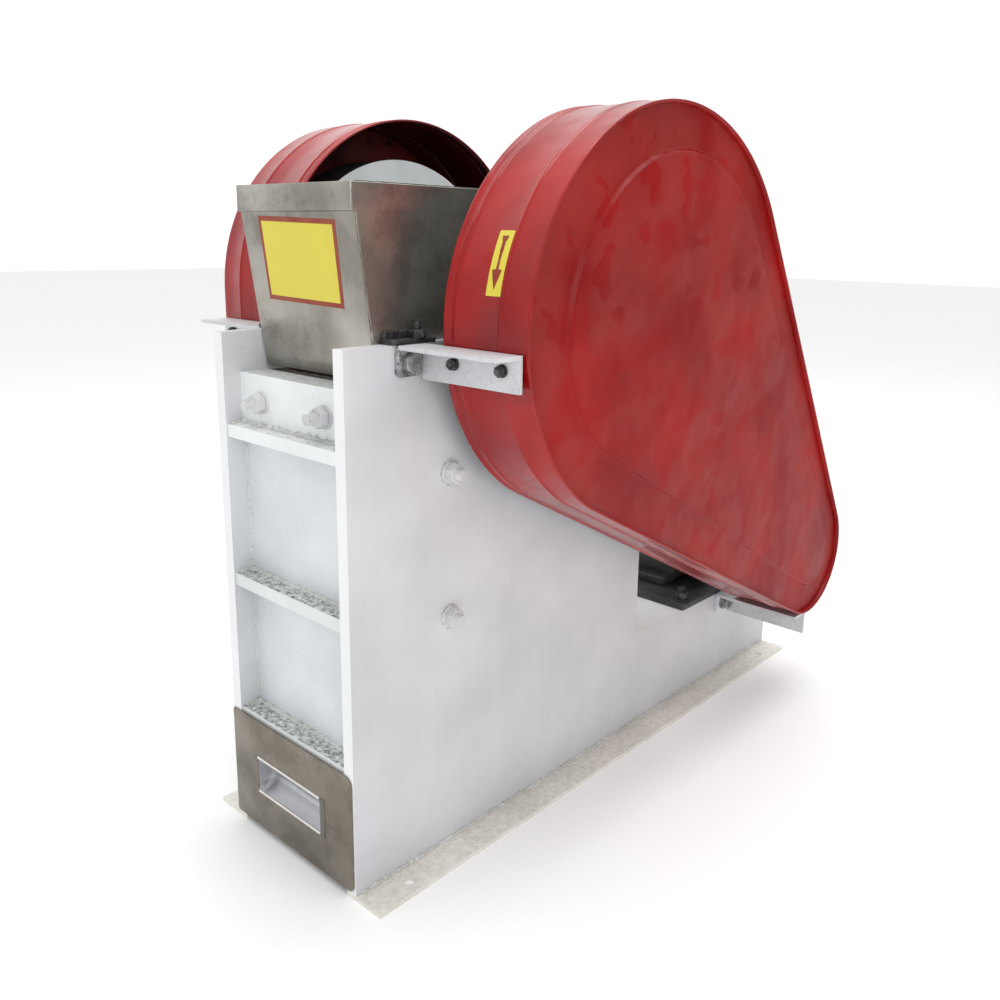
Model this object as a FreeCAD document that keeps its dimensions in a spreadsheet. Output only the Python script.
import FreeCAD, Part
import math
import os
import re

import Sketcher

# Laboratory jaw crusher on a welded plate frame.
# +Z is up, -Y is the feed and drawer end, +X is the belt side.
# The origin is the centre of the four anchor holes, on the floor.
# In the sheet, "along" sizes run back from the front edges of the side plates
# and "height" sizes run up from the floor.

# Sizes that are set by themselves, in millimetres.
SIZES = [
    # welded frame
    ("frame_width", 220, "over the outer faces of the side plates"),
    ("tall_length", 492, "length of the tall part that holds the jaws"),
    ("bay_length", 388, "length of the low motor bay behind it"),
    ("tall_height", 575, "top edge of the tall part"),
    ("bay_height", 139, "top edge of the low motor bay"),
    ("side_t", 15, "side plate thickness"),
    ("flange_t", 5, "floor flange thickness"),
    ("flange_out", 38, "floor flange beyond the side plate"),
    ("anchor_inset", 55, "anchor hole from the flange's end"),
    ("anchor_out", 21, "anchor hole from the side plate's outer face"),
    ("anchor_radius", 6.5, "anchor hole for a 12 mm bolt"),
    ("wall_along", 24, "front face of the front wall"),
    ("wall_t", 28, "front wall thickness"),
    ("block_along", 20, "front face of the bolted top block"),
    ("block_drop", 43, "top of that block under the plates' top edge"),
    ("rib_along", 2, "front edge of the ribs"),
    ("rib_t", 14, "rib thickness"),
    ("rib_top_drop", 98, "top of the upper rib under the plates' top edge"),
    ("rib_mid_height", 308, "top of the middle rib"),
    ("rib_low_height", 146, "top of the lower rib, above the drawer"),
    ("back_wall_t", 14, "plate that closes the tall part at the back"),
    ("back_wall_drop", 15, "top of the back wall under the plates' top edge"),
    ("bay_plate_t", 8, "plate that carries the motor"),
    ("end_plate_t", 12, "cross plate at the back end"),
    ("beam_along", 330, "front face of the toggle beam"),
    ("beam_depth", 60, "toggle beam front to back"),
    ("beam_under", 26, "underside of the beam below the toggle plate"),
    ("beam_rise", 70, "toggle beam, top to bottom"),
    # crushing chamber
    ("jaw_low", 200, "lower end of the jaw plates"),
    ("jaw_under_block", 1, "upper end of the jaw plates under the block's top"),
    ("jaw_t", 20, "jaw plate thickness over the teeth"),
    ("tooth_depth", 5, "depth of the vertical teeth"),
    ("tooth_count", 8, "teeth across a jaw plate"),
    ("jaw_side_gap", 2, "room between a jaw and a side liner"),
    ("cheek_t", 14, "side liner thickness"),
    ("cheek_foot", 110, "side liner at its foot, front to back"),
    ("cheek_over", 5, "side liner behind the swing jaw's top corner"),
    ("cheek_bolt_along", 135, "side liner bolts"),
    ("cheek_bolt_drop", 94, "upper liner bolt under the jaws' upper end"),
    ("cheek_bolt_rise", 77, "lower liner bolt over the jaws' lower end"),
    ("cheek_bolt_radius", 6.5, "holes for 12 mm liner bolts"),
    ("swing_lead", 100, "top corner of the swing jaw before its shaft"),
    ("swing_drop", 17, "that corner below its shaft"),
    ("swing_toe_along", 112, "front of the swing jaw at its toe"),
    ("toe_under", 5, "front corner of the toe under the jaw plates"),
    ("toe_t", 48, "toe, front to back"),
    ("toe_drop", 10, "slope of the toe's underside"),
    ("toe_seat", 55, "rise of the 45 degree face that the toggle plate meets"),
    ("shoulder_back", 52, "back of the swing jaw's arm behind its shaft"),
    ("shoulder_drop", 32, "and below its shaft"),
    ("lug_along", 14, "lug for the tension rod, behind the toe's front"),
    ("lug_length", 30, "lug, front to back"),
    ("lug_wall", 6, "lug beside the rod"),
    ("lug_under", 4, "lug under the rod"),
    ("lug_root", 8, "lug sunk into the toe"),
    ("toggle_t", 12, "toggle plate thickness"),
    ("toggle_rise", 11, "underside of the toggle plate over the toe"),
    ("toggle_inset", 8, "toggle plate narrower than the jaw, each side"),
    ("toggle_gap", 0.3, "toggle plate clear of the swing jaw"),
    ("rod_drop", 30, "axis of the tension rod under the toe"),
    ("rod_radius", 7, "tension rod"),
    ("rod_room", 2, "hole round the tension rod"),
    ("rod_end", 24, "thread past the spring"),
    ("spring_radius", 15, "coil centre line of the tension spring"),
    ("spring_wire", 2.5, "radius of the spring wire"),
    ("spring_length", 52, "tension spring, compressed"),
    ("spring_coils", 6, "turns of the tension spring"),
    ("spring_play", 0.2, "room at each end of the spring"),
    ("washer_edge", 5, "spring washer beyond the coil's centre line"),
    ("washer_t", 4, "spring washer"),
    # shaft line
    ("shaft_along", 300, "axis of the eccentric shaft"),
    ("shaft_rise", 17, "axis over the plates' top edge"),
    ("journal_radius", 28, "bearing journals"),
    ("journal_gap", 0.05, "running clearance in the bearings"),
    ("journal_out", 6, "journal past the bearing housing"),
    ("eccentric_radius", 34, "eccentric part inside the swing jaw"),
    ("eccentric_throw", 5, "offset of the eccentric part"),
    ("eccentric_inset", 4, "eccentric part shorter than the swing jaw, each side"),
    ("head_radius", 66, "head of the swing jaw"),
    ("head_bore", 46, "space for the roller bearings in the head"),
    ("stub_radius", 22, "shaft ends in the wheel hubs"),
    ("stub_end", 16, "shaft end past the flywheel"),
    ("housing_half_length", 60, "half the bearing housing along the frame"),
    ("housing_drop", 43, "floor of the notch for the housing"),
    ("housing_cap", 58, "top of the housing cap over the shaft"),
    ("housing_inset", 9, "housing inside the side plate"),
    ("housing_outset", 21, "housing outside the side plate"),
    ("wheel_radius", 178, "flywheel"),
    ("wheel_gap", 21, "flywheel from the bearing housing"),
    ("wheel_width", 60, "flywheel"),
    ("rim_depth", 28, "flywheel rim, radially"),
    ("web_t", 18, "flywheel web"),
    ("hub_radius", 46, "flywheel hub"),
    ("hub_proud", 4, "flywheel hub past the rim's faces"),
    ("pulley_radius", 160, "belt pulley"),
    ("pulley_gap", 34, "belt pulley from the bearing housing"),
    ("pulley_width", 50, "belt pulley"),
    ("belt_width", 12, "drive belt"),
    ("belt_depth", 10, "drive belt"),
    ("belt_pitch", 18, "spacing of the two belts"),
    ("belt_gap", 1, "room around a belt in its groove"),
    # motor
    ("motor_setback", 245, "motor shaft axis behind the tall part"),
    ("motor_under", 10, "room under the motor body"),
    ("motor_radius", 80, "motor body"),
    ("motor_length", 250, "motor body without its fan cover"),
    ("motor_space", 65, "end of the motor body from the pulleys"),
    ("motor_shaft_radius", 12, "motor shaft"),
    ("motor_shaft_end", 3, "motor shaft past its pulley"),
    ("motor_pulley_radius", 50, "motor pulley"),
    ("fan_cover_length", 55, "fan cover"),
    ("fan_cover_step", 3, "fan cover smaller than the motor body"),
    ("foot_rear", 60, "motor feet from the fan end"),
    ("foot_front", 50, "motor feet from the shaft end"),
    ("motor_foot_t", 14, "motor feet"),
    ("motor_foot_over", 5, "motor feet beyond the motor body"),
    ("motor_web_in", 22, "casting under the motor body, in from its sides"),
    ("terminal_start", 45, "terminal box from the shaft end"),
    ("terminal_length", 90, "terminal box along the motor"),
    ("terminal_half", 38, "half the terminal box across the motor"),
    ("terminal_sink", 10, "terminal box below the motor body's top"),
    ("terminal_rise", 34, "terminal box over the motor body's top"),
    ("seat_gap", 0.3, "room round the shell under the terminal box"),
    ("base_front_gap", 108, "motor base plate behind the tall part"),
    ("base_back_gap", 30, "motor base plate before the frame's back end"),
    ("base_t", 10, "motor base plate thickness"),
    ("base_edge", 2, "motor base plate in from the side plates' faces"),
    # feed hopper
    ("hopper_side_gap", 1, "hopper clear of the side plates"),
    ("hopper_gap", 6, "lower edge over the top block"),
    ("hopper_rise", 184, "hopper, bottom to top"),
    ("hopper_front_flare", 27, "front panel, foot to top"),
    ("hopper_back_gap", 17, "back panel's foot before the swing jaw's top corner"),
    ("hopper_back_flare", 17, "back panel, foot to top"),
    ("hopper_t", 2, "hopper sheet"),
    ("hopper_rim", 26, "height of the doubled band round the mouth"),
    ("foot_t", 5, "hopper foot angle thickness"),
    ("foot_width", 19, "hopper foot angle on the side plate"),
    ("foot_rise", 17, "hopper foot angle up the side panel"),
    ("foot_along", 56, "front end of the hopper feet"),
    ("foot_length", 58, "length of the hopper feet"),
    # guards
    ("guard_t", 2, "guard sheet"),
    ("guard_gap", 30, "open side of both guards from the side plates"),
    ("guard_end_gap", 21, "closed side of both guards past the shaft's ends"),
    ("guard_front_shift", 3, "centre of the belt guard's front arc behind the shaft"),
    ("guard_front_drop", 3, "and below the shaft"),
    ("guard_clearance", 47, "front arc over the belt pulley"),
    ("guard_crown", 35, "top arc over the front arc"),
    ("guard_top_turn", 24.7, "degrees below level from front centre to top centre"),
    ("guard_low_drop", 9, "centre of the arc round the motor pulley, below it"),
    ("guard_low_clearance", 40, "that arc over the motor pulley"),
    ("drum_shift", 6, "centre of the flywheel guard's arch behind the shaft"),
    ("drum_rise", 17, "and over the shaft"),
    ("drum_clearance", 31, "flywheel guard's arch over the flywheel"),
    ("angle_leg", 35, "leg of the guard bracket angles"),
    ("angle_t", 4, "thickness of the guard bracket angles"),
    ("angle_setback", 6, "outer end of the angles inside the guards"),
    ("angle_gap", 0.3, "rear bracket clear of the belt guard"),
    ("pad_t", 6, "end plate of a bracket"),
    ("pad_rise", 31, "height of an end plate"),
    ("pad_lap", 22, "rear left end plate, forward of the tall part's back end"),
    # drawer
    ("drawer_edge", 2, "front plate in from the side plates' faces"),
    ("drawer_lift", 3, "front plate over the floor flanges"),
    ("drawer_under", 5, "front plate under the lower rib's top"),
    ("drawer_front_t", 3, "front plate thickness"),
    ("drawer_gap", 0.3, "play of the drawer at rest"),
    ("tray_side_gap", 7, "tray from the side plates"),
    ("tray_under", 12, "tray under the lower rib"),
    ("tray_length", 300, "tray"),
    ("tray_t", 2, "tray sheet"),
    ("rail_t", 8.7, "drawer rails, top to bottom"),
    ("rail_width", 15, "drawer rails"),
    ("rail_along", 15, "front end of the drawer rails"),
    ("rail_length", 340, "drawer rails"),
    ("grip_half_width", 62, "recessed handle"),
    ("grip_lift", 44, "recessed handle over the front plate's lower edge"),
    ("grip_rise", 45, "recessed handle, bottom to top"),
    ("grip_depth", 24, "recessed handle"),
    ("grip_t", 1.5, "handle cup sheet"),
    ("grip_lip", 14, "pull lip hanging from the cup's upper edge"),
]

# Places and sizes that follow from those, each a formula in the names above it.
FOLLOWING = [
    ("frame_length", "tall_length + bay_length", "side plates, front to back"),
    ("front", "-frame_length / 2", "front edges of the side plates"),
    ("outer", "frame_width / 2", "outer face of a side plate"),
    ("inner", "outer - side_t", "inner face of a side plate"),
    ("anchor", "frame_length / 2 - anchor_inset", "anchor holes from the origin"),
    ("wall_back", "wall_along + wall_t", "face that the fixed jaw plate bears on"),
    ("block_height", "tall_height - block_drop", "top of the bolted top block"),
    ("rib_top_height", "tall_height - rib_top_drop", "top of the upper rib"),
    ("back_wall", "front + tall_length - back_wall_t", "front face of the back wall"),
    ("back_wall_height", "tall_height - back_wall_drop", "top of the back wall"),
    ("cheek_in", "inner - cheek_t", "inner face of a side liner"),
    ("jaw_half_width", "cheek_in - jaw_side_gap", "half the width of the jaws"),
    ("jaw_high", "block_height - jaw_under_block", "upper end of the jaw plates"),
    ("cheek_bolt_high", "jaw_high - cheek_bolt_drop", "upper side liner bolt"),
    ("cheek_bolt_low", "jaw_low + cheek_bolt_rise", "lower side liner bolt"),
    ("shaft_height", "tall_height + shaft_rise", "axis of the eccentric shaft"),
    ("swing_top_along", "shaft_along - swing_lead", "swing jaw's top corner"),
    ("swing_top_height", "shaft_height - swing_drop", "swing jaw's top corner"),
    ("toe_height", "jaw_low - toe_under", "front corner of the toe"),
    ("toe_back", "swing_toe_along + toe_t", "back corner of the toe"),
    ("toggle_height", "toe_height + toggle_rise", "underside of the toggle plate"),
    ("toggle_front", "toe_back + toggle_height + toggle_t - toe_height + toe_drop + toggle_gap",
     "front end of the toggle plate"),
    ("beam_low", "toggle_height - beam_under", "underside of the toggle beam"),
    ("rod_height", "toe_height - rod_drop", "axis of the tension rod"),
    ("housing_low", "tall_height - housing_drop", "floor of the notch for the housing"),
    ("housing_high", "shaft_height + housing_cap", "top of the housing cap"),
    ("housing_in", "inner - housing_inset", "inner face of the housing"),
    ("housing_out", "outer + housing_outset", "outer face of the housing"),
    ("wheel_in", "housing_out + wheel_gap", "flywheel face nearest the frame"),
    ("wheel_out", "wheel_in + wheel_width", "flywheel outer face"),
    ("wheel_mid", "(wheel_in + wheel_out) / 2", "middle of the flywheel"),
    ("ring_radius", "wheel_radius - rim_depth", "inside of the flywheel's rim"),
    ("hub_bore", "stub_radius + journal_gap", "bore of flywheel and belt pulley"),
    ("stub_reach", "wheel_out + stub_end", "shaft end from the centre plane"),
    ("pulley_in", "housing_out + pulley_gap", "pulley face nearest the frame"),
    ("pulley_out", "pulley_in + pulley_width", "pulley outer face"),
    ("belt_mid", "(pulley_in + pulley_out) / 2", "middle of the belts"),
    ("slot_half", "belt_width / 2 + belt_gap", "half a belt groove"),
    ("base_top", "bay_height + base_t", "top of the motor base plate"),
    ("base_reach", "outer - base_edge", "motor base plate from the centre plane"),
    ("motor_along", "tall_length + motor_setback", "motor shaft axis"),
    ("motor_height", "base_top + motor_radius + motor_under", "motor shaft axis"),
    ("motor_right", "pulley_in - motor_space", "end of the motor body on the belt side"),
    ("motor_left", "motor_right - motor_length", "end of the motor body at the fan"),
    ("hopper_half_width", "inner - hopper_side_gap", "outer half width"),
    ("hopper_low", "block_height + hopper_gap", "lower edge"),
    ("hopper_high", "hopper_low + hopper_rise", "upper edge"),
    ("hopper_front_high", "wall_back - hopper_front_flare", "front panel at the top"),
    ("hopper_back_low", "swing_top_along - hopper_back_gap", "back panel at its foot"),
    ("hopper_back_high", "hopper_back_low + hopper_back_flare", "back panel at the top"),
    ("guard_in", "outer + guard_gap", "open side of both guards"),
    ("guard_out", "stub_reach + guard_end_gap", "closed side of both guards"),
    ("guard_front_along", "shaft_along + guard_front_shift", "belt guard's front arc"),
    ("guard_front_height", "shaft_height - guard_front_drop", "belt guard's front arc"),
    ("guard_front_radius", "pulley_radius + guard_clearance", "belt guard's front arc"),
    ("guard_top_radius", "guard_front_radius + guard_crown", "belt guard's top arc"),
    ("guard_low_height", "motor_height - guard_low_drop", "belt guard's lower arc"),
    ("guard_low_radius", "motor_pulley_radius + guard_low_clearance", "belt guard's lower arc"),
    ("drum_along", "shaft_along + drum_shift", "flywheel guard's arch"),
    ("drum_height", "shaft_height + drum_rise", "flywheel guard's arch"),
    ("drum_radius", "wheel_radius + drum_clearance", "flywheel guard's arch"),
    ("angle_reach", "guard_out - angle_setback", "outer end of the bracket angles"),
    ("drawer_half_width", "outer - drawer_edge", "drawer front plate"),
    ("drawer_low", "flange_t + drawer_lift", "lower edge of the front plate"),
    ("drawer_high", "rib_low_height - drawer_under", "upper edge of the front plate"),
    ("tray_half_width", "inner - tray_side_gap", "tray"),
    ("tray_high", "rib_low_height - rib_t - tray_under", "top edge of the tray"),
    ("rail_height", "flange_t + rail_t", "top of the drawer rails"),
    ("grip_low", "drawer_low + grip_lift", "recessed handle"),
    ("grip_high", "grip_low + grip_rise", "recessed handle"),
]

doc = FreeCAD.newDocument("jaw_crusher")
sheet = doc.addObject("Spreadsheet::Sheet", "Sizes")
rows = [(alias, str(value), meaning) for alias, value, meaning in SIZES]
rows += [(alias, "=" + formula, meaning) for alias, formula, meaning in FOLLOWING]
for row, (alias, content, meaning) in enumerate(rows, start=1):
    sheet.set("A%d" % row, alias)
    sheet.set("B%d" % row, content)
    sheet.set("C%d" % row, meaning)
    sheet.setAlias("B%d" % row, alias)
doc.recompute()

size = {alias: float(sheet.get(alias)) for alias, _, _ in rows}
nodes = {}
ALONG_X = FreeCAD.Rotation(FreeCAD.Vector(0, 1, 0), 90)
ALONG_Y = FreeCAD.Rotation(FreeCAD.Vector(1, 0, 0), -90)
UPRIGHT = FreeCAD.Rotation()


def cells(text):
    """Turn an expression in size names into one that names the sheet's cells."""
    return re.sub(r"[a-z_]\w*", lambda match: "Sizes." + match.group(0), text)


def bind(thing, **links):
    """Bind properties of a document object to expressions in the size names."""
    for prop, text in links.items():
        thing.setExpression(prop, cells(text))


def place(thing, x, y, z, turn=UPRIGHT):
    thing.Placement = FreeCAD.Placement(FreeCAD.Vector(), turn)
    for axis, text in zip("xyz", (x, y, z)):
        thing.setExpression("Placement.Base." + axis, cells(text))


def keep(label, thing):
    """Name a finished sub-part: its label is its file's name."""
    thing.Label = label
    nodes[label] = thing
    return thing


def block(name, x, y, z):
    """Box between two expressions on each axis."""
    thing = doc.addObject("Part::Box", name)
    bind(thing, **{side: "(%s) - (%s)" % (high, low)
                   for side, (low, high) in zip(("Length", "Width", "Height"), (x, y, z))})
    place(thing, x[0], y[0], z[0])
    return thing


def rod(name, turn, start, length, radius):
    """Cylinder from a start point along the turned Z axis."""
    thing = doc.addObject("Part::Cylinder", name)
    bind(thing, Radius=radius, Height=length)
    place(thing, *start, turn)
    return thing


def fuse(name, parts):
    thing = doc.addObject("Part::MultiFuse", name)
    thing.Shapes = parts
    return thing


def cut(name, base, tools):
    thing = doc.addObject("Part::Cut", name)
    thing.Base = base
    thing.Tool = tools[0] if len(tools) == 1 else fuse(name + "_tools", tools)
    return thing


def outline(body, plane, points, holes=()):
    """Sketch a closed outline, and round holes in it, with every coordinate bound to the sheet."""
    sketch = body.newObject("Sketcher::SketchObject", body.Name + "_outline")
    origin = [f for f in body.Origin.OriginFeatures if f.Role == plane][0]
    sketch.AttachmentSupport = [(origin, "")]
    sketch.MapMode = "FlatFace"
    count = len(points)
    spread = [FreeCAD.Vector(math.cos(2 * math.pi * i / count), math.sin(2 * math.pi * i / count), 0) * 100
              for i in range(count)]
    for i in range(count):
        sketch.addGeometry(Part.LineSegment(spread[i], spread[(i + 1) % count]))
    for i in range(count):
        sketch.addConstraint(Sketcher.Constraint("Coincident", i, 2, (i + 1) % count, 1))
    for i, point in enumerate(points):
        for kind, start, text in zip(("DistanceX", "DistanceY"), spread[i], point):
            index = sketch.addConstraint(Sketcher.Constraint(kind, -1, 1, i, 1, start))
            sketch.setExpression("Constraints[%d]" % index, cells(text))
    for across, up, radius in holes:
        ring = sketch.addGeometry(Part.Circle(FreeCAD.Vector(1, 1, 0), FreeCAD.Vector(0, 0, 1), 5))
        for kind, text in (("DistanceX", across), ("DistanceY", up)):
            index = sketch.addConstraint(Sketcher.Constraint(kind, -1, 1, ring, 3, 1))
            sketch.setExpression("Constraints[%d]" % index, cells(text))
        index = sketch.addConstraint(Sketcher.Constraint("Radius", ring, 5))
        sketch.setExpression("Constraints[%d]" % index, cells(radius))
    return sketch


def plate(label, points, holes, x_start, thickness):
    """Plate in the YZ plane with a sketched outline, padded towards +X."""
    body = doc.addObject("PartDesign::Body", label)
    sketch = outline(body, "YZ_Plane", points, holes)
    pad = body.newObject("PartDesign::Pad", label + "_pad")
    pad.Profile = sketch
    bind(pad, Length=thickness)
    place(body, x_start, "front", "0 * side_t")
    return body


def turned(label, points, y, z):
    """Body of revolution about a line along X; points are (x, radius)."""
    body = doc.addObject("PartDesign::Body", label)
    sketch = outline(body, "XY_Plane", points)
    spin = body.newObject("PartDesign::Revolution", label + "_spin")
    spin.Profile = sketch
    spin.ReferenceAxis = (sketch, ["H_Axis"])
    spin.Angle = 360
    place(body, "0 * side_t", y, z)
    return body


def finished(label, shape):
    """Sub-part whose shape is worked out here from the sheet's values."""
    thing = doc.addObject("Part::Feature", label)
    thing.Shape = shape
    return keep(label, thing)


# ---------------------------------------------------------------- welded frame

def side_plates():
    """Two plates with a tall front, a low motor bay and a notch for the bearing housing."""
    notch = "shaft_along - housing_half_length", "shaft_along + housing_half_length"
    points = [("0 * side_t", "flange_t"), ("frame_length", "flange_t"), ("frame_length", "bay_height"),
              ("tall_length", "bay_height"), ("tall_length", "tall_height"), (notch[1], "tall_height"),
              (notch[1], "housing_low"), (notch[0], "housing_low"), (notch[0], "tall_height"),
              ("0 * side_t", "tall_height")]
    holes = [("cheek_bolt_along", "cheek_bolt_high", "cheek_bolt_radius"),
             ("cheek_bolt_along", "cheek_bolt_low", "cheek_bolt_radius")]
    for side, start in (("left", "-outer"), ("right", "inner")):
        keep("side_plate_" + side, plate("side_plate_" + side, points, holes, start, "side_t"))


def floor_flanges():
    """Flat bar under each side plate, with two anchor holes in the part that sticks out."""
    for side, low, high, hole in (("left", "-outer - flange_out", "-inner", "-outer - anchor_out"),
                                  ("right", "inner", "outer + flange_out", "outer + anchor_out")):
        bar = block("bar_" + side, (low, high), ("front", "-front"), ("0 * side_t", "flange_t"))
        holes = [rod("anchor_%s_%s" % (side, end), UPRIGHT, (hole, y, "-flange_t"), "3 * flange_t",
                     "anchor_radius") for end, y in (("front", "-anchor"), ("back", "anchor"))]
        keep("floor_flange_" + side, cut("flange_" + side, bar, holes))


def cross_plates():
    """Everything that is welded between the side plates."""
    across = ("-inner", "inner")
    wall = ("front + wall_along", "front + wall_back")
    keep("front_wall", block("wall", across, wall, ("rib_low_height - rib_t", "rib_top_height")))
    keep("front_block", block("top_block", across, ("front + block_along", "front + wall_back"),
                              ("rib_top_height", "block_height")))
    for name in ("top", "mid", "low"):
        top = "rib_%s_height" % name
        keep("rib_" + name, block("rib_bar_" + name, across, ("front + rib_along", "front + wall_along"),
                                  (top + " - rib_t", top)))
    rear = block("rear", across, ("back_wall", "front + tall_length"), ("bay_height", "back_wall_height"))
    hole = rod("rod_hole", ALONG_Y, ("0 * side_t", "back_wall - side_t", "rod_height"),
               "back_wall_t + 2 * side_t", "rod_radius + rod_room")
    keep("back_wall", cut("back_wall_drilled", rear, [hole]))
    keep("bay_plate", block("motor_bay", across, ("back_wall", "-front - end_plate_t"),
                            ("bay_height - bay_plate_t", "bay_height")))
    keep("end_plate", block("rear_end", across, ("-front - end_plate_t", "-front"),
                            ("flange_t", "bay_height")))
    keep("toggle_beam", block("beam", across, ("front + beam_along", "front + beam_along + beam_depth"),
                              ("beam_low", "beam_low + beam_rise")))


# ------------------------------------------------------------ crushing chamber

def jaw_plate(label):
    """Upright plate with vertical teeth towards +Y, its back on the plane y = 0."""
    half = size["jaw_half_width"]
    pitch = 2 * half / size["tooth_count"]
    root, tip = size["jaw_t"] - size["tooth_depth"], size["jaw_t"]
    points = [FreeCAD.Vector(-half, 0, 0), FreeCAD.Vector(-half, root, 0)]
    for i in range(int(size["tooth_count"])):
        start = -half + i * pitch
        points += [FreeCAD.Vector(start + pitch * part, y, 0)
                   for part, y in ((0.35, tip), (0.65, tip), (1.0, root))]
    points += [FreeCAD.Vector(half, 0, 0)]
    face = Part.Face(Part.makePolygon(points + points[:1]))
    return finished(label, face.extrude(FreeCAD.Vector(0, 0, size["jaw_high"] - size["jaw_low"])))


def jaws():
    """Fixed jaw on the front wall, swing jaw on the eccentric shaft, side liners between them."""
    fixed = jaw_plate("fixed_jaw_plate")
    place(fixed, "0 * side_t", "front + wall_back", "jaw_low")
    lean = math.atan2(size["swing_top_along"] - size["swing_toe_along"],
                      size["swing_top_height"] - size["toe_height"])
    moving = jaw_plate("moving_jaw_plate")
    foot = FreeCAD.Vector(0, size["front"] + size["swing_toe_along"] + size["toe_under"] * math.tan(lean),
                          size["jaw_low"])
    turn = FreeCAD.Rotation(FreeCAD.Vector(1, 0, 0), -math.degrees(lean))
    moving.Placement = FreeCAD.Placement(foot, turn * FreeCAD.Rotation(FreeCAD.Vector(0, 0, 1), 180))
    points = [("swing_top_along", "swing_top_height"), ("swing_toe_along", "toe_height"),
              ("toe_back", "toe_height - toe_drop"),
              ("toe_back + toe_seat", "toe_height - toe_drop + toe_seat"),
              ("shaft_along + shoulder_back", "shaft_height - shoulder_drop")]
    arm = plate("swing_arm", points, [], "-jaw_half_width", "2 * jaw_half_width")
    centre = ("-jaw_half_width", "front + shaft_along", "shaft_height")
    head = rod("swing_head", ALONG_X, centre, "2 * jaw_half_width", "head_radius")
    lug_front = "front + swing_toe_along + lug_along"
    lug = block("swing_lug", ("-rod_radius - lug_wall", "rod_radius + lug_wall"),
                (lug_front, lug_front + " + lug_length"),
                ("rod_height - rod_radius - lug_under", "toe_height + lug_root"))
    bore = rod("swing_bore", ALONG_X, ("-2 * jaw_half_width", "front + shaft_along", "shaft_height"),
               "4 * jaw_half_width", "head_bore")
    keep("swing_jaw", cut("swing_jaw_bored", fuse("swing_casting", [arm, head, lug]), [bore]))
    cheek = [("wall_back", "jaw_low"), ("wall_back + cheek_foot", "jaw_low"),
             ("swing_top_along + cheek_over", "jaw_high"), ("wall_back", "jaw_high")]
    holes = [("cheek_bolt_along", "cheek_bolt_high", "cheek_bolt_radius"),
             ("cheek_bolt_along", "cheek_bolt_low", "cheek_bolt_radius")]
    for side, start in (("left", "-inner"), ("right", "cheek_in")):
        keep("side_liner_" + side, plate("side_liner_" + side, cheek, holes, start, "cheek_t"))


def toggle_gear():
    """Toggle plate behind the toe, with the tension rod and spring that hold it in its seat."""
    keep("toggle_plate", block("toggle", ("-jaw_half_width + toggle_inset", "jaw_half_width - toggle_inset"),
                               ("front + toggle_front", "front + beam_along"),
                               ("toggle_height", "toggle_height + toggle_t")))
    seat = size["front"] + size["tall_length"]
    end = seat + size["spring_length"]
    centre = FreeCAD.Vector(0, 0, size["rod_height"])
    y_axis = FreeCAD.Vector(0, 1, 0)
    start = size["front"] + size["swing_toe_along"] + size["lug_along"] + size["lug_length"]
    bar = Part.makeCylinder(size["rod_radius"], end + size["rod_end"] - start, centre + y_axis * start,
                            y_axis)
    washer = Part.makeCylinder(size["spring_radius"] + size["washer_edge"], size["washer_t"],
                               centre + y_axis * end, y_axis)
    finished("tension_rod", bar.fuse(washer))
    wire = size["spring_wire"]
    length = size["spring_length"] - 2 * (wire + size["spring_play"])
    helix = Part.makeHelix(length / size["spring_coils"], length, size["spring_radius"])
    circle = Part.Wire(Part.makeCircle(wire, FreeCAD.Vector(size["spring_radius"], 0, 0), y_axis))
    coil = Part.Wire(helix).makePipeShell([circle], True, True)
    spring = finished("tension_spring", coil)
    spring.Placement = FreeCAD.Placement(centre + y_axis * (seat + wire + size["spring_play"]), ALONG_Y)


# ------------------------------------------------------------------ shaft line

def shaft_line():
    """Eccentric shaft in its two housings, with the flywheel and the belt pulley on its ends."""
    y, z = "front + shaft_along", "shaft_height"
    journal = rod("journals", ALONG_X, ("-housing_out - journal_out", y, z),
                  "2 * (housing_out + journal_out)", "journal_radius")
    stubs = rod("stubs", ALONG_X, ("-stub_reach", y, z), "2 * stub_reach", "stub_radius")
    throw = rod("throw", ALONG_X, ("-jaw_half_width + eccentric_inset", y, z + " - eccentric_throw"),
                "2 * (jaw_half_width - eccentric_inset)", "eccentric_radius")
    keep("eccentric_shaft", fuse("shaft", [journal, stubs, throw]))
    for side, low, high in (("left", "-housing_out", "-housing_in"), ("right", "housing_in", "housing_out")):
        case = block("case_" + side, (low, high),
                     (y + " - housing_half_length", y + " + housing_half_length"),
                     ("housing_low", "housing_high"))
        bore = rod("case_bore_" + side, ALONG_X, (low + " - side_t", y, z),
                   "housing_out - housing_in + 2 * side_t", "journal_radius + journal_gap")
        keep("bearing_housing_" + side, cut("housing_" + side, case, [bore]))
    hub = ("-wheel_out - hub_proud", "-wheel_in + hub_proud")
    web = ("-wheel_mid - web_t / 2", "-wheel_mid + web_t / 2")
    keep("flywheel", turned("flywheel", [
        (hub[0], "hub_bore"), (hub[0], "hub_radius"), (web[0], "hub_radius"), (web[0], "ring_radius"),
        ("-wheel_out", "ring_radius"), ("-wheel_out", "wheel_radius"), ("-wheel_in", "wheel_radius"),
        ("-wheel_in", "ring_radius"), (web[1], "ring_radius"), (web[1], "hub_radius"),
        (hub[1], "hub_radius"), (hub[1], "hub_bore")], y, z))
    keep("belt_pulley", grooved_pulley("belt_pulley", "hub_bore", "pulley_radius", y, z))


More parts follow.
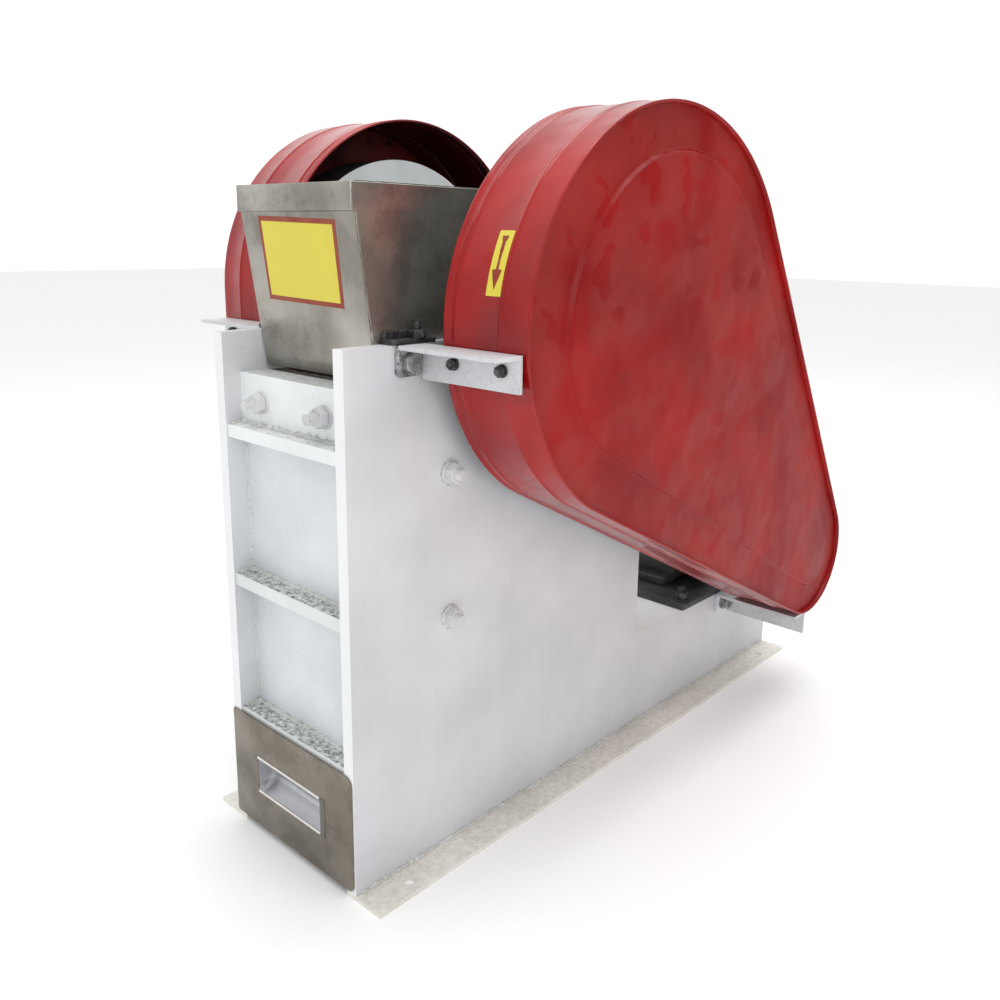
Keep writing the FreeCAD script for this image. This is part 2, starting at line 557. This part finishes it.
def grooved_pulley(label, bore, radius, y, z):
    """Solid-web pulley with two grooves for the belts."""
    floor = "(%s - belt_depth - 2 * belt_gap)" % radius
    points = [("pulley_in", bore), ("pulley_in", radius)]
    for offset in ("-belt_pitch / 2", "belt_pitch / 2"):
        centre = "belt_mid + (%s)" % offset
        points += [(centre + " - slot_half", radius), (centre + " - slot_half", floor),
                   (centre + " + slot_half", floor), (centre + " + slot_half", radius)]
    points += [("pulley_out", radius), ("pulley_out", bore)]
    return turned(label, points, y, z)


def taut_wire(circles, x):
    """Taut outline round circles listed counter-clockwise as (y, z, radius), in the plane at x."""
    corners = []
    count = len(circles)
    for i in range(count):
        y0, z0, r0 = circles[i]
        y1, z1, r1 = circles[(i + 1) % count]
        span = math.hypot(y1 - y0, z1 - z0)
        heading = math.atan2(z1 - z0, y1 - y0)
        if span - abs(r0 - r1) < 1e-6:
            normal = heading if r0 > r1 else heading + math.pi
        else:
            normal = heading - math.acos((r0 - r1) / span)
        out = FreeCAD.Vector(0, math.cos(normal), math.sin(normal))
        corners.append((FreeCAD.Vector(x, y0, z0) + out * r0, FreeCAD.Vector(x, y1, z1) + out * r1, normal))
    edges = []
    for i in range(count):
        leave, arrive, normal = corners[i]
        following = corners[(i + 1) % count]
        if (arrive - leave).Length > 1e-4:
            edges.append(Part.makeLine(leave, arrive))
        y1, z1, r1 = circles[(i + 1) % count]
        sweep = (following[2] - normal) % (2 * math.pi)
        middle = normal + sweep / 2
        half_way = FreeCAD.Vector(x, y1 + r1 * math.cos(middle), z1 + r1 * math.sin(middle))
        edges.append(Part.Arc(arrive, half_way, following[0]).toShape())
    return Part.Wire(edges)


def drive():
    """Two belts, each one closed loop, and the motor that drives them."""
    big = (size["front"] + size["shaft_along"], size["shaft_height"])
    little = (size["front"] + size["motor_along"], size["motor_height"])
    loops = []
    for side in (-0.5, 0.5):
        x = size["belt_mid"] + side * size["belt_pitch"] - size["belt_width"] / 2
        rings = []
        for depth in (size["belt_gap"], size["belt_gap"] + size["belt_depth"]):
            rings.append(taut_wire([big + (size["pulley_radius"] - depth,),
                                    little + (size["motor_pulley_radius"] - depth,)], x))
        across = FreeCAD.Vector(size["belt_width"], 0, 0)
        loops.append(Part.Face(rings[0]).extrude(across).cut(Part.Face(rings[1]).extrude(across)))
    finished("drive_belts", Part.makeCompound(loops))
    y, z = "front + motor_along", "motor_height"
    keep("motor_pulley", grooved_pulley("motor_pulley", "motor_shaft_radius + journal_gap",
                                        "motor_pulley_radius", y, z))


def motor():
    """Foot-mounted motor, its shaft across the frame, on a base plate over the motor bay."""
    y, z = "front + motor_along", "motor_height"
    shell = rod("motor_shell", ALONG_X, ("motor_left", y, z), "motor_right - motor_left", "motor_radius")
    shaft = rod("motor_shaft", ALONG_X, ("motor_right", y, z), "pulley_out - motor_right + motor_shaft_end",
                "motor_shaft_radius")
    across = ("motor_left + foot_rear", "motor_right - foot_front")
    foot = block("motor_feet", across, (y + " - motor_radius - motor_foot_over",
                                        y + " + motor_radius + motor_foot_over"),
                 ("base_top", "base_top + motor_foot_t"))
    web = block("motor_web", across, (y + " - motor_radius + motor_web_in",
                                      y + " + motor_radius - motor_web_in"), ("base_top", z))
    keep("motor", fuse("motor_body", [shell, shaft, foot, web]))
    keep("motor_fan_cover", rod("fan_cover", ALONG_X, ("motor_left - fan_cover_length", y, z),
                                "fan_cover_length", "motor_radius - fan_cover_step"))
    box = block("terminals",
                ("motor_right - terminal_start - terminal_length", "motor_right - terminal_start"),
                (y + " - terminal_half", y + " + terminal_half"),
                (z + " + motor_radius - terminal_sink", z + " + motor_radius + terminal_rise"))
    round_shell = rod("terminal_seat", ALONG_X, ("motor_left", y, z), "motor_right - motor_left",
                      "motor_radius + seat_gap")
    keep("motor_terminal_box", cut("terminal_box", box, [round_shell]))
    keep("motor_base", block("motor_base_plate", ("-base_reach", "base_reach"),
                             ("front + tall_length + base_front_gap", "-front - base_back_gap"),
                             ("bay_height", "base_top")))


# ---------------------------------------------------------------- sheet metal

def tapered(name, shrink):
    """Four-sided taper between the hopper's lower and upper mouths, drawn in by a sheet thickness."""
    thing = doc.addObject("Part::Wedge", name)
    spill = "20 * (%s)" % shrink
    half = "hopper_half_width - hopper_t * (%s)" % shrink
    slope_front = "(wall_back - hopper_front_high) / (hopper_high - hopper_low)"
    slope_back = "(hopper_back_high - hopper_back_low) / (hopper_high - hopper_low)"
    low, high = "hopper_low - %s" % spill, "hopper_high + %s" % spill
    sheet_in = "hopper_t * (%s)" % shrink
    front_low = "wall_back + %s * (%s) + %s" % (spill, slope_front, sheet_in)
    front_high = "hopper_front_high - %s * (%s) + %s" % (spill, slope_front, sheet_in)
    back_low = "hopper_back_low - %s * (%s) - %s" % (spill, slope_back, sheet_in)
    back_high = "hopper_back_high + %s * (%s) - %s" % (spill, slope_back, sheet_in)
    bind(thing, Xmin="-(%s)" % half, Xmax=half, X2min="-(%s)" % half, X2max=half,
         Ymin=low, Ymax=high, Zmin="-(%s)" % back_low, Zmax="-(%s)" % front_low,
         Z2min="-(%s)" % back_high, Z2max="-(%s)" % front_high)
    place(thing, "0 * side_t", "front", "0 * side_t", FreeCAD.Rotation(FreeCAD.Vector(1, 0, 0), 90))
    return thing


def hopper():
    """Open sheet-metal hopper between the side plates, doubled round its mouth, on two bolted feet."""
    shell = tapered("hopper_shell", "0")
    hollow = tapered("hopper_hollow", "1")
    reach = ("-hopper_half_width - hopper_t", "hopper_half_width + hopper_t")
    along = ("front + hopper_front_high - hopper_t", "front + hopper_back_high + hopper_t")
    band = block("hopper_band", reach, along, ("hopper_high - hopper_rim", "hopper_high"))
    keep("feed_hopper", cut("hopper_open", fuse("hopper_outside", [shell, band]), [hollow]))
    for side, sign in (("left", "-"), ("right", "")):
        spans = []
        for low, high in (("hopper_half_width", "hopper_half_width + foot_width"),
                          ("hopper_half_width", "hopper_half_width + foot_t")):
            spans.append((low, high) if not sign else ("-(%s)" % high, "-(%s)" % low))
        y = ("front + foot_along", "front + foot_along + foot_length")
        flat = block("foot_flat_" + side, spans[0], y, ("tall_height", "tall_height + foot_t"))
        upright = block("foot_upright_" + side, spans[1], y, ("tall_height", "tall_height + foot_rise"))
        keep("hopper_foot_" + side, fuse("foot_" + side, [flat, upright]))


def belt_guard():
    """Tear-drop guard round the belt drive: a rolled band, open to the frame, and a flat outer face."""
    turn = math.radians(size["guard_top_turn"])
    step = size["guard_crown"]
    nose = (size["front"] + size["guard_front_along"], size["guard_front_height"])
    crown = (nose[0] + step * math.cos(turn), nose[1] - step * math.sin(turn))
    toe = (size["front"] + size["motor_along"], size["guard_low_height"])

    def outline_at(x, inset):
        return taut_wire([toe + (size["guard_low_radius"] - inset,),
                          crown + (size["guard_top_radius"] - inset,),
                          nose + (size["guard_front_radius"] - inset,)], x)

    sheet_t = size["guard_t"]
    depth = FreeCAD.Vector(size["guard_out"] - sheet_t - size["guard_in"], 0, 0)
    outside = Part.Face(outline_at(size["guard_in"], 0)).extrude(depth)
    inside = Part.Face(outline_at(size["guard_in"], sheet_t)).extrude(depth)
    finished("belt_guard_band", outside.cut(inside))
    face = Part.Face(outline_at(size["guard_out"] - sheet_t, 0))
    finished("belt_guard_face", face.extrude(FreeCAD.Vector(sheet_t, 0, 0)))


def flywheel_guard():
    """Half drum over the flywheel: an arch on two straight legs, open below and to the frame."""
    low = size["tall_height"] - size["angle_leg"]
    y, z = size["front"] + size["drum_along"], size["drum_height"]

    def arch(radius, x, thickness):
        left, right = FreeCAD.Vector(x, y - radius, z), FreeCAD.Vector(x, y + radius, z)
        foot_left, foot_right = FreeCAD.Vector(x, y - radius, low), FreeCAD.Vector(x, y + radius, low)
        crown = FreeCAD.Vector(x, y, z + radius)
        edges = [Part.makeLine(foot_left, foot_right), Part.makeLine(foot_right, right),
                 Part.Arc(right, crown, left).toShape(), Part.makeLine(left, foot_left)]
        return Part.Face(Part.Wire(edges)).extrude(FreeCAD.Vector(thickness, 0, 0))

    sheet_t, radius = size["guard_t"], size["drum_radius"]
    depth = size["guard_out"] - sheet_t - size["guard_in"]
    x = -size["guard_out"] + sheet_t
    finished("flywheel_guard_band", arch(radius, x, depth).cut(arch(radius - sheet_t, x, depth)))
    finished("flywheel_guard_face", arch(radius, -size["guard_out"], sheet_t))


def angle(label, low, high, leg_y, flat_y, top):
    """Angle bar across the frame: upright leg between leg_y, flat leg on top between flat_y."""
    upright = block("leg_" + label, (low, high), leg_y, (top + " - angle_leg", top))
    flat = block("flat_" + label, (low, high), flat_y, (top + " - angle_t", top))
    keep(label, fuse("bar_" + label, [upright, flat]))


def brackets():
    """Angle brackets that carry the guards, each with an end plate bolted to a side plate."""
    guard_nose = "(front + guard_front_along - guard_front_radius)"
    drum_nose = "(front + drum_along - drum_radius)"
    drum_tail = "(front + drum_along + drum_radius)"
    toe = "(front + motor_along)"
    toe_top = "guard_low_height - guard_low_radius - angle_gap"
    right, left = ("outer + pad_t", "angle_reach"), ("-angle_reach", "-outer - pad_t")
    spots = [
        ("front_right", right, guard_nose, "tall_height"),
        ("rear_right", right, toe + " + angle_t", toe_top),
        ("front_left", left, drum_nose, "tall_height"),
        ("rear_left", left, drum_tail, "tall_height"),
    ]
    for name, (low, high), wall, top in spots:
        if wall is drum_tail:
            leg = (wall, wall + " + angle_t")
            flat = (wall, wall + " + angle_leg")
            pad_y = ("front + tall_length - pad_lap", wall + " + angle_leg")
        else:
            leg = (wall + " - angle_t", wall)
            flat = (wall + " - angle_leg", wall)
            pad_y = (wall + " - angle_leg", wall + " - angle_t")
        angle("bracket_" + name, low, high, leg, flat, top)
        pad_x = ("outer", "outer + pad_t") if low.startswith("outer") else ("-outer - pad_t", "-outer")
        keep("bracket_pad_" + name, block("pad_" + name, pad_x, pad_y, (top + " - pad_rise", top)))


def drawer():
    """Catch drawer under the jaws: plain front plate, open tray and a recessed cup handle."""
    back = "front - drawer_gap"
    face = block("drawer_face", ("-drawer_half_width", "drawer_half_width"),
                 (back + " - drawer_front_t", back), ("drawer_low", "drawer_high"))
    window = block("drawer_window", ("-grip_half_width", "grip_half_width"),
                   (back + " - grip_depth", back + " + grip_depth"), ("grip_low", "grip_high"))
    keep("drawer_front", cut("drawer_plate", face, [window]))
    low = "rail_height + drawer_gap"
    outside = block("tray_outside", ("-tray_half_width", "tray_half_width"), (back, back + " + tray_length"),
                    (low, "tray_high"))
    inside = block("tray_inside", ("-tray_half_width + tray_t", "tray_half_width - tray_t"),
                   (back + " - tray_t", back + " + tray_length - tray_t"),
                   (low + " + tray_t", "tray_high + tray_t"))
    keep("drawer_tray", cut("tray", outside, [inside]))
    front_face = back + " - drawer_front_t"
    cup = block("cup_outside", ("-grip_half_width", "grip_half_width"),
                (front_face, front_face + " + grip_depth"), ("grip_low", "grip_high"))
    hollow = block("cup_inside", ("-grip_half_width + grip_t", "grip_half_width - grip_t"),
                   (front_face + " - grip_t", front_face + " + grip_depth - grip_t"),
                   ("grip_low + grip_t", "grip_high - grip_t"))
    lip = block("cup_lip", ("-grip_half_width", "grip_half_width"), (front_face, front_face + " + grip_t"),
                ("grip_high - grip_lip", "grip_high"))
    keep("drawer_handle", fuse("cup", [cut("cup_open", cup, [hollow]), lip]))
    for side, x in (("left", ("-inner", "-inner + rail_width")), ("right", ("inner - rail_width", "inner"))):
        keep("drawer_rail_" + side,
             block("rail_" + side, x, ("front + rail_along", "front + rail_along + rail_length"),
                   ("flange_t", "rail_height")))


def write_parts():
    """Check every object, then write each sub-part to its own STEP file."""
    doc.recompute()
    broken = [o.Label for o in doc.Objects if {"Invalid", "Error"} & set(o.State)]
    if broken:
        raise RuntimeError("objects that did not build: %s" % ", ".join(broken))
    os.makedirs("parts", exist_ok=True)
    for label, thing in nodes.items():
        shape = thing.Shape
        if shape.isNull() or not shape.isValid() or not shape.Solids:
            raise RuntimeError("%s has no valid solid" % label)
        shape.exportStep("parts/%s.step" % label)
        print("%-24s %8.1f cm3  %d solid(s)" % (label, shape.Volume / 1000, len(shape.Solids)))


side_plates()
floor_flanges()
cross_plates()
jaws()
toggle_gear()
shaft_line()
drive()
motor()
hopper()
belt_guard()
flywheel_guard()
brackets()
drawer()
write_parts()
